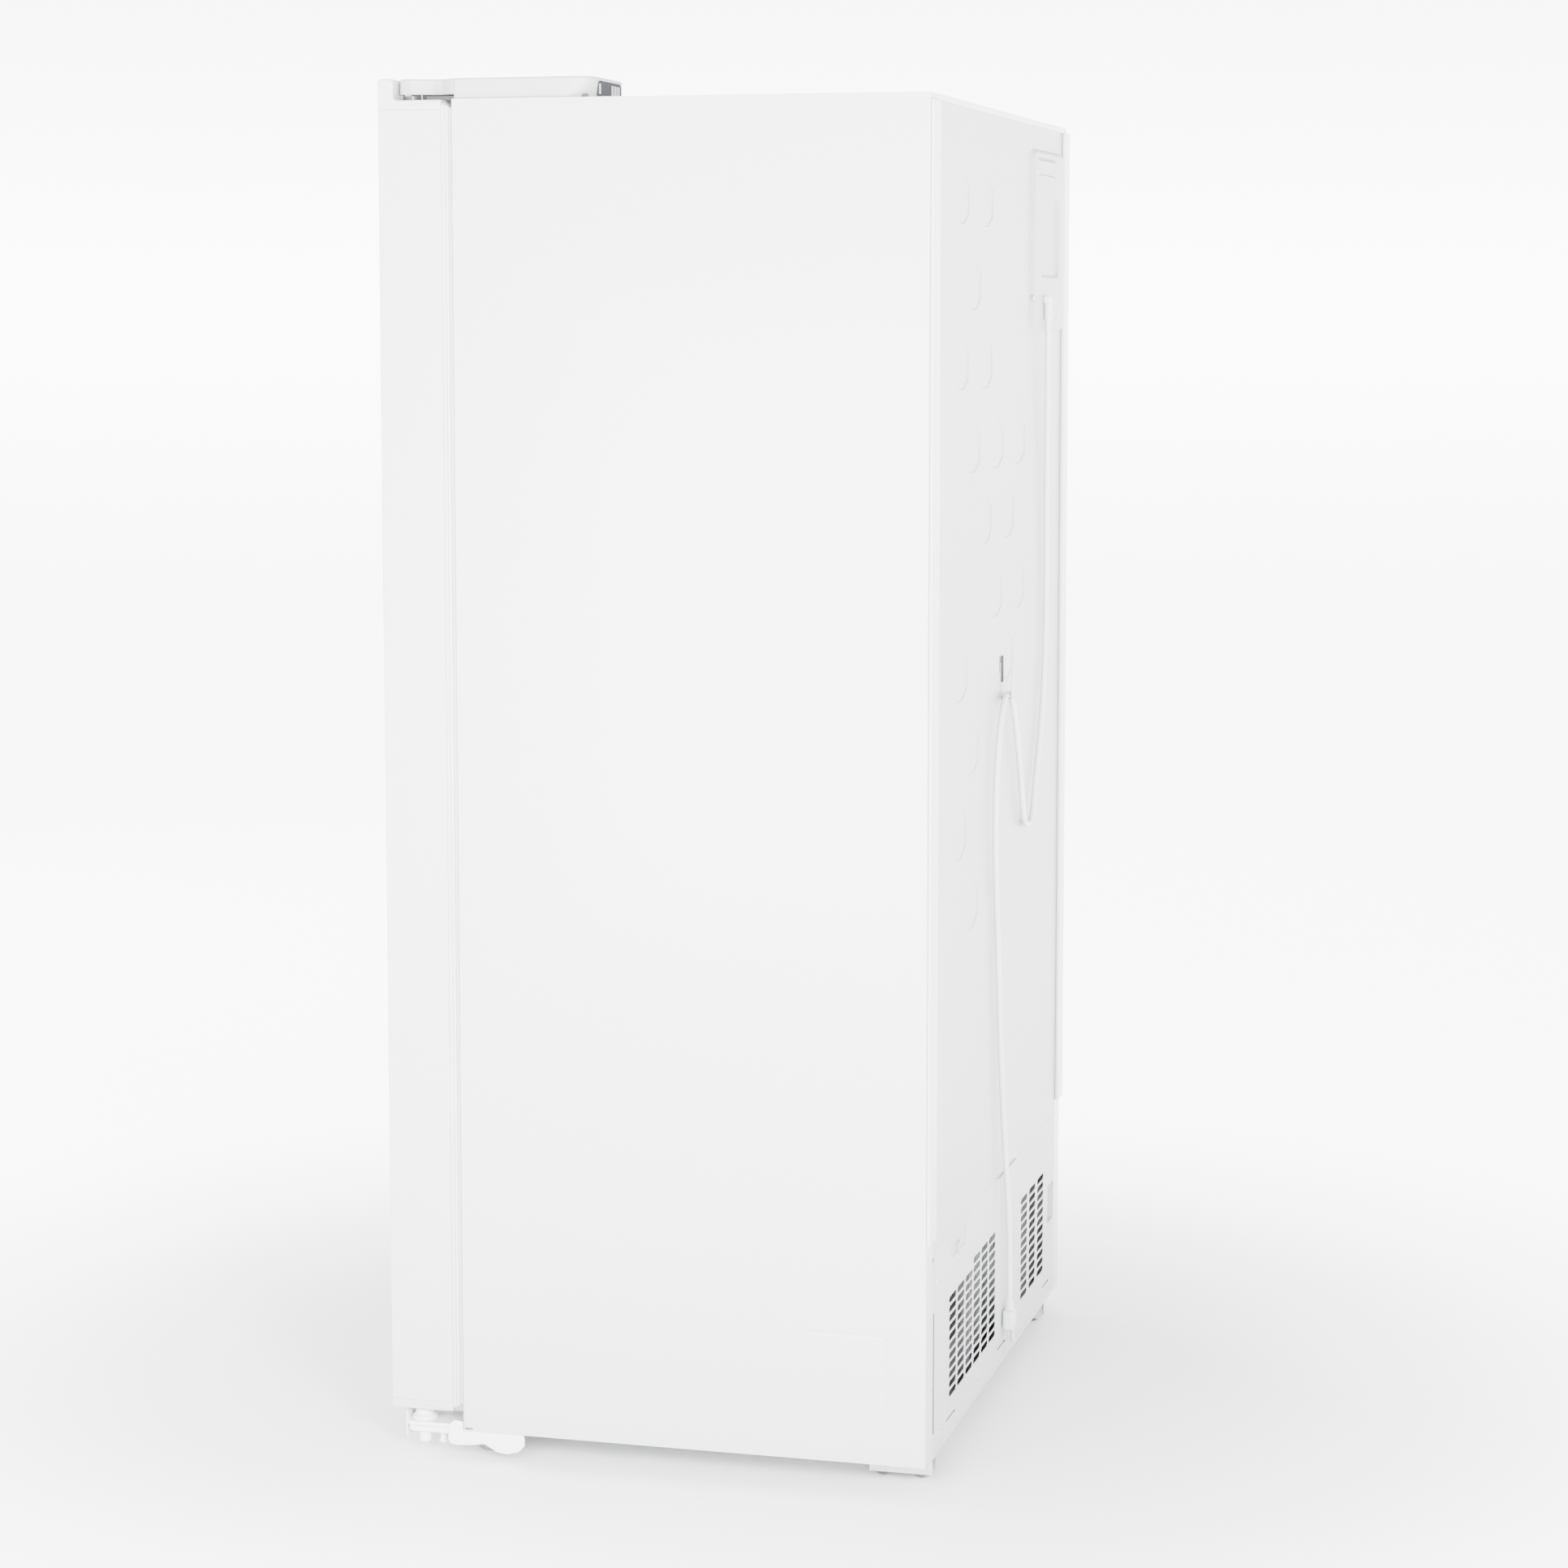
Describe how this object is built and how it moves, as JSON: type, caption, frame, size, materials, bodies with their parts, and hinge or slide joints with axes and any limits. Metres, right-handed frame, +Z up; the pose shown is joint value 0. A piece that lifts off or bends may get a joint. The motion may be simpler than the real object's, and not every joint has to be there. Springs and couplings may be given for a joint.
{
  "type": "side by side refrigerator",
  "caption": "Free-standing side by side refrigerator with hinged freezer and fridge doors, shelves, drawers, a rear machine bay and a mains cord hooked on its back.",
  "frame": {"origin": "on the floor under the middle of the body, measured without the mains cord", "axes": "+X to the right seen from the front, -Y the door side, +Y the back, +Z up"},
  "size_m": [0.912, 0.7306, 1.77],
  "materials": {
    "case_paint": "smooth white baked enamel",
    "door_paint": "smooth white baked enamel",
    "rear_paint": "satin white coated sheet",
    "zinc_steel": "zinc plated",
    "foam": "rigid foam",
    "liner_plastic": "formed gloss",
    "cover_plastic": "fine moulded grain",
    "rear_plastic": "fine moulded grain",
    "grip_plastic": "satin grey",
    "gasket_rubber": "soft matt",
    "roller_plastic": "satin black",
    "foot_plastic": "satin grey",
    "shelf_glass": "clear toughened",
    "shelf_plastic": "moulded gloss",
    "clear_plastic": "clear moulded",
    "lamp_plastic": "diffusing",
    "coil_aluminium": "bare fins",
    "compressor_shell": "black enamel",
    "fan_plastic": "satin dark grey",
    "pan_plastic": "satin dark grey",
    "board_laminate": "green lacquer",
    "cord_plastic": "satin white flexible"
  },
  "bodies": {
    "cabinet": {"side_panel_left": "case_paint", "side_panel_right": "case_paint", "top_panel": "case_paint", "front_frame": "case_paint", "base_plate": "zinc_steel", "machine_bay_wall": "zinc_steel", "cabinet_insulation": "foam", "freezer_liner": "liner_plastic", "fridge_liner": "liner_plastic", "rear_panel": "rear_paint", "machine_cover": "rear_paint", "control_box_cover": "rear_plastic", "control_board": "board_laminate", "cover_screws": "zinc_steel", "toe_kick": "cover_plastic", "roller_brackets": "zinc_steel", "top_hinges": "zinc_steel", "hinge_covers": "cover_plastic", "bottom_hinges": "zinc_steel", "freezer_back_duct": "shelf_plastic", "evaporator": "coil_aluminium", "fridge_back_duct": "shelf_plastic", "interior_lamps": "lamp_plastic", "freezer_shelves": "shelf_glass", "fridge_shelves": "shelf_glass", "compressor": "compressor_shell", "compressor_mounts": "gasket_rubber", "fan_shroud": "pan_plastic", "condenser": "coil_aluminium", "drain_pan": "pan_plastic", "power_cord": "cord_plastic", "cord_gland": "cord_plastic", "power_plug": "cord_plastic", "cord_hook": "rear_paint"},
    "levelling_leg_left": {"levelling_leg_left": "foot_plastic"},
    "levelling_leg_right": {"levelling_leg_right": "foot_plastic"},
    "condenser_fan": {"condenser_fan": "fan_plastic"},
    "evaporator_fan": {"evaporator_fan": "fan_plastic"},
    "rear_roller_left_front": {"rear_roller_left_front": "roller_plastic"},
    "rear_roller_left_rear": {"rear_roller_left_rear": "roller_plastic"},
    "rear_roller_right_front": {"rear_roller_right_front": "roller_plastic"},
    "rear_roller_right_rear": {"rear_roller_right_rear": "roller_plastic"},
    "freezer_door": {"freezer_door_skin": "door_paint", "freezer_door_foam": "foam", "freezer_door_grip": "grip_plastic", "freezer_door_liner": "liner_plastic", "freezer_door_gasket": "gasket_rubber", "freezer_door_caps": "cover_plastic", "freezer_door_bins": "clear_plastic"},
    "freezer_drawer_lower": {"freezer_drawer_lower": "clear_plastic"},
    "freezer_drawer_upper": {"freezer_drawer_upper": "clear_plastic"},
    "fridge_door": {"fridge_door_skin": "door_paint", "fridge_door_foam": "foam", "fridge_door_grip": "grip_plastic", "fridge_door_liner": "liner_plastic", "fridge_door_gasket": "gasket_rubber", "fridge_door_caps": "cover_plastic", "fridge_door_bins": "clear_plastic"},
    "fridge_drawer_lower": {"fridge_drawer_lower": "clear_plastic"},
    "fridge_drawer_upper": {"fridge_drawer_upper": "clear_plastic"}
  },
  "joints": [
    {"name": "freezer_door_hinge", "type": "hinge", "parent": "cabinet", "child": "freezer_door", "pos_m": [-0.431, -0.321, 0.9], "axis": [0, 0, -1], "range_deg": [0, 120]},
    {"name": "fridge_door_hinge", "type": "hinge", "parent": "cabinet", "child": "fridge_door", "pos_m": [0.431, -0.321, 0.9], "axis": [0, 0, 1], "range_deg": [0, 120]},
    {"name": "freezer_drawer_lower_slide", "type": "slide", "parent": "cabinet", "child": "freezer_drawer_lower", "axis": [0, -1, 0], "range_m": [0, 0.05]},
    {"name": "freezer_drawer_upper_slide", "type": "slide", "parent": "cabinet", "child": "freezer_drawer_upper", "axis": [0, -1, 0], "range_m": [0, 0.05]},
    {"name": "fridge_drawer_lower_slide", "type": "slide", "parent": "cabinet", "child": "fridge_drawer_lower", "axis": [0, -1, 0], "range_m": [0, 0.05]},
    {"name": "fridge_drawer_upper_slide", "type": "slide", "parent": "cabinet", "child": "fridge_drawer_upper", "axis": [0, -1, 0], "range_m": [0, 0.05]},
    {"name": "rear_roller_left_front_spin", "type": "hinge", "parent": "cabinet", "child": "rear_roller_left_front", "pos_m": [-0.373, 0.28, 0.012], "axis": [1, 0, 0], "continuous": true},
    {"name": "rear_roller_left_rear_spin", "type": "hinge", "parent": "cabinet", "child": "rear_roller_left_rear", "pos_m": [-0.373, 0.33, 0.012], "axis": [1, 0, 0], "continuous": true},
    {"name": "levelling_leg_left_turn", "type": "hinge", "parent": "cabinet", "child": "levelling_leg_left", "pos_m": [-0.396, -0.24, 0.02], "axis": [0, 0, 1], "continuous": true},
    {"name": "rear_roller_right_front_spin", "type": "hinge", "parent": "cabinet", "child": "rear_roller_right_front", "pos_m": [0.373, 0.28, 0.012], "axis": [1, 0, 0], "continuous": true},
    {"name": "rear_roller_right_rear_spin", "type": "hinge", "parent": "cabinet", "child": "rear_roller_right_rear", "pos_m": [0.373, 0.33, 0.012], "axis": [1, 0, 0], "continuous": true},
    {"name": "levelling_leg_right_turn", "type": "hinge", "parent": "cabinet", "child": "levelling_leg_right", "pos_m": [0.396, -0.24, 0.02], "axis": [0, 0, 1], "continuous": true},
    {"name": "condenser_fan_spin", "type": "hinge", "parent": "cabinet", "child": "condenser_fan", "pos_m": [0.1, 0.25, 0.14], "axis": [1, 0, 0], "continuous": true},
    {"name": "evaporator_fan_spin", "type": "hinge", "parent": "cabinet", "child": "evaporator_fan", "pos_m": [-0.25, 0.202, 1], "axis": [0, 1, 0], "continuous": true}
  ]
}
